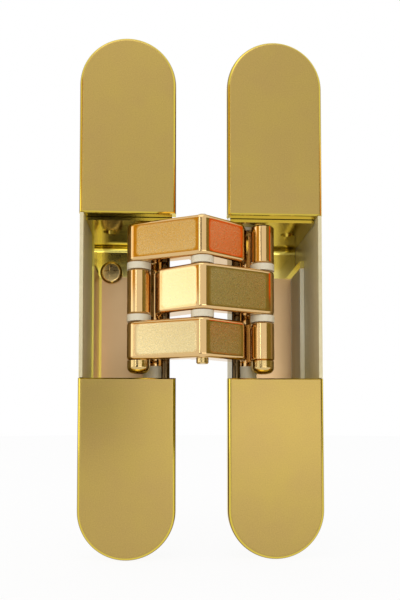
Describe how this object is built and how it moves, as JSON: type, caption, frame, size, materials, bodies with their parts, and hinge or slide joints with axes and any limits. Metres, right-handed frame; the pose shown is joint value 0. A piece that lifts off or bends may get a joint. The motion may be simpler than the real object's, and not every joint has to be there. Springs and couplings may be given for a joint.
{
  "type": "concealed door hinge",
  "caption": "Concealed door hinge with two mortised halves, folding arms on pins and short guide links, shown open flat, with covers over the fixing screws.",
  "frame": {"origin": "middle of the two fixing holes of the frame half, on the back plane of its end pads, which rests on the step of the mortise", "axes": "+X from the frame half to the door half, +Y into the depth of the mortise, +Z along the pins"},
  "size_m": [0.0608, 0.0365, 0.13],
  "materials": {
    "satin_gold": "satin",
    "polished_gold": "polished",
    "cast_housing": "cast, thinly plated",
    "plated_carriage": "plated, polished",
    "grey_plastic": "moulded",
    "pin_steel": "plated"
  },
  "bodies": {
    "frame_half": {"frame_housing": "cast_housing", "frame_carriage": "plated_carriage", "frame_upper_cover": "satin_gold", "frame_lower_cover": "satin_gold", "frame_clamp_screw": "pin_steel", "frame_arm_pin": "pin_steel", "frame_deep_pin": "pin_steel", "frame_deep_washers": "grey_plastic"},
    "inner_arm": {"middle_arm": "polished_gold", "door_link_pin": "pin_steel", "door_link_washers": "grey_plastic"},
    "outer_arms": {"upper_outer_arm": "polished_gold", "lower_outer_arm": "polished_gold", "centre_pin": "pin_steel", "centre_washers": "grey_plastic", "frame_link_pin": "pin_steel", "frame_link_washers": "grey_plastic"},
    "door_half": {"door_housing": "cast_housing", "door_carriage": "plated_carriage", "door_upper_cover": "satin_gold", "door_lower_cover": "satin_gold", "door_clamp_screw": "pin_steel", "door_arm_pin": "pin_steel", "door_deep_pin": "pin_steel", "door_deep_washers": "grey_plastic"},
    "frame_short_link": {"frame_link": "polished_gold"},
    "door_short_link": {"door_link": "polished_gold"}
  },
  "joints": [
    {"name": "inner_arm_on_frame", "type": "hinge", "parent": "frame_half", "child": "inner_arm", "pos_m": [0.0094, -0.0085, 0], "axis": [0, 0, -1], "range_deg": [0, 106.3]},
    {"name": "outer_arms_on_inner_arm", "type": "hinge", "parent": "inner_arm", "child": "outer_arms", "pos_m": [0.0184, -0.016, 0], "axis": [0, 0, -1], "range_deg": [-32.5, 0]},
    {"name": "door_on_outer_arms", "type": "hinge", "parent": "outer_arms", "child": "door_half", "pos_m": [0.0274, -0.0085, 0], "axis": [0, 0, -1], "range_deg": [0, 106.2]},
    {"name": "link_on_frame", "type": "hinge", "parent": "frame_half", "child": "frame_short_link", "pos_m": [0.00665, -0.0035, 0], "axis": [0, 0, -1], "range_deg": [0, 96]},
    {"name": "link_on_door", "type": "hinge", "parent": "door_half", "child": "door_short_link", "pos_m": [0.03015, -0.0035, 0], "axis": [0, 0, -1], "range_deg": [-96, 0]}
  ],
  "couplings": [
    {"joint": "inner_arm_on_frame", "follows": "door_on_outer_arms", "ratio": 1},
    {"joint": "outer_arms_on_inner_arm", "follows": "door_on_outer_arms", "ratio": -0.3051},
    {"joint": "link_on_frame", "follows": "door_on_outer_arms", "ratio": 0.90338},
    {"joint": "link_on_door", "follows": "door_on_outer_arms", "ratio": -0.90338}
  ]
}
